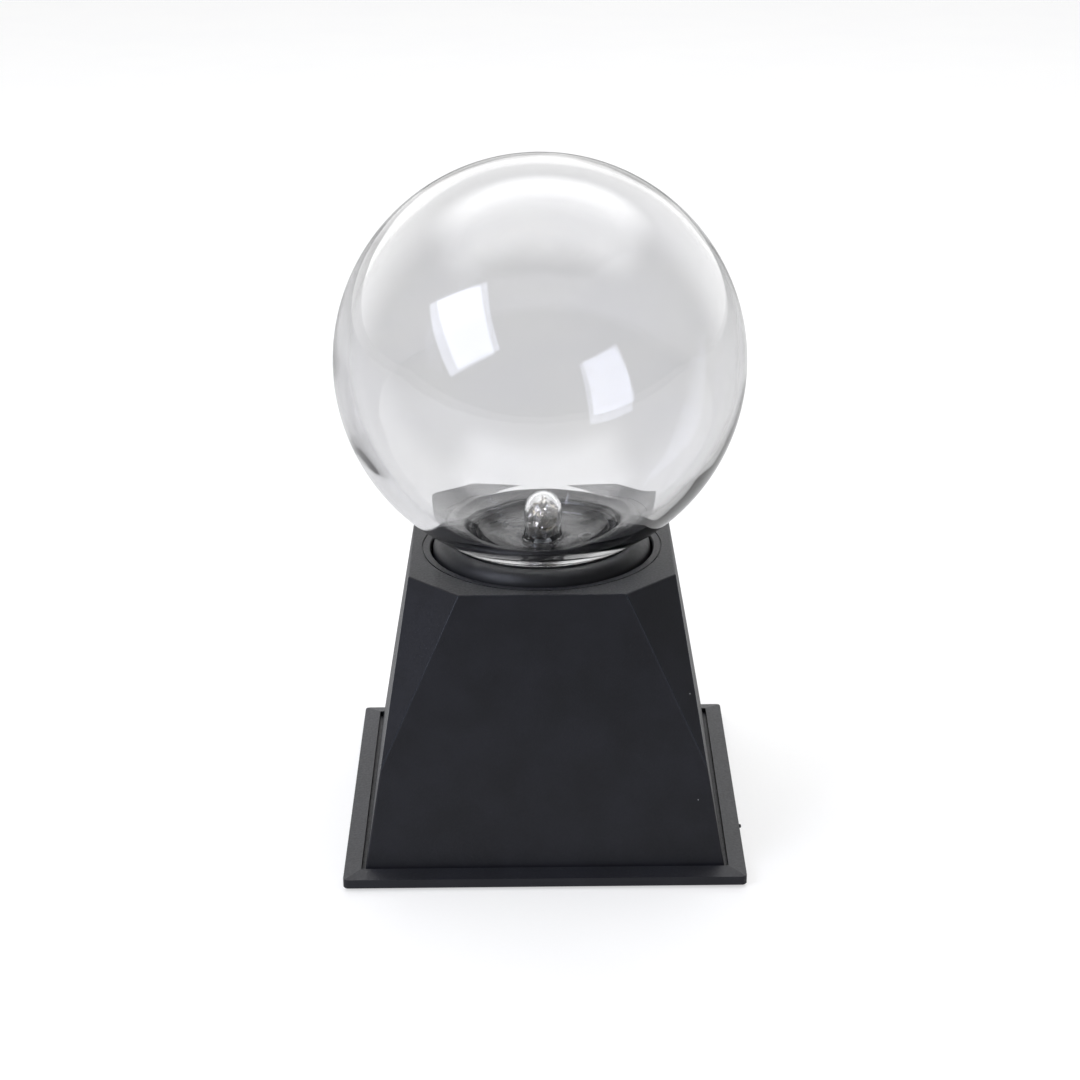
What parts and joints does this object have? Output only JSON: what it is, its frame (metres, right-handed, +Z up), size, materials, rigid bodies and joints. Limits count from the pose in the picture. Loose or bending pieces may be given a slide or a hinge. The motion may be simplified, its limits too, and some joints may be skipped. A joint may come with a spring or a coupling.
{
  "type": "plasma ball",
  "caption": "Clear glass plasma globe with an inner electrode finger, on a faceted black pedestal with a square foot and a rear slide switch.",
  "frame": {"origin": "on the table, under the middle of the overall box, which is also the axis of the globe", "axes": "+Z up along the globe's axis, -Y the front, +Y the rear with the switch and power inlet, +X to the right seen from the front"},
  "size_m": [0.1284, 0.1284, 0.2156],
  "materials": {
    "black_abs": "fine spark texture, satin",
    "black_seat_abs": "smooth moulded, semi-gloss",
    "clear_glass": "blown, clear",
    "black_rubber": "matt",
    "grey_silicone": "cured compound",
    "metal_foil": "crumpled, bright",
    "brass": "turned",
    "zinc_steel": "zinc plated",
    "black_steel": "blackened",
    "board_laminate": "phenolic paper laminate",
    "ferrite": "sintered",
    "potting": "epoxy",
    "copper_wire": "enamelled winding",
    "white_nylon": "moulded",
    "aluminium": "extruded",
    "black_epoxy": "moulded epoxy",
    "capacitor_sleeve": "shrunk sleeve",
    "film_yellow": "dipped",
    "resistor_tan": "lacquer",
    "red_pvc": "extruded",
    "black_pvc": "extruded",
    "white_pvc": "extruded"
  },
  "bodies": {
    "lamp": {"base_plate": "black_abs", "rubber_feet": "black_rubber", "pedestal_housing": "black_abs", "base_screws": "zinc_steel", "globe_seat": "black_seat_abs", "seat_screws": "zinc_steel", "cushion_ring": "black_rubber", "neck_sealant": "grey_silicone", "glass_globe": "clear_glass", "electrode_tube": "clear_glass", "exhaust_tip": "clear_glass", "electrode_foil": "metal_foil", "electrode_contact": "zinc_steel", "high_tension_lead": "black_pvc", "circuit_board": "board_laminate", "board_screws": "zinc_steel", "transformer_cradle": "white_nylon", "transformer_core": "ferrite", "high_tension_coil": "potting", "primary_coil": "copper_wire", "heat_sink": "aluminium", "power_transistor": "black_epoxy", "transistor_screw": "zinc_steel", "electrolytic_capacitors": "capacitor_sleeve", "film_capacitor": "film_yellow", "control_chips": "black_epoxy", "resistors": "resistor_tan", "wire_headers": "white_nylon", "switch_frame": "zinc_steel", "switch_base": "board_laminate", "switch_terminals": "brass", "switch_screws": "black_steel", "microphone": "aluminium", "inlet_body": "black_seat_abs", "inlet_pin": "zinc_steel", "inlet_spring": "brass", "inlet_nut": "zinc_steel", "supply_lead_red": "red_pvc", "supply_lead_black": "black_pvc", "switch_leads": "white_pvc", "microphone_leads": "white_pvc"},
    "switch_knob": {"switch_slider": "black_seat_abs", "bridge_contact": "brass"}
  },
  "joints": [
    {"name": "switch_slide", "type": "slide", "parent": "lamp", "child": "switch_knob", "axis": [1, 0, 0], "range_m": [-0.002, 0.002]}
  ]
}
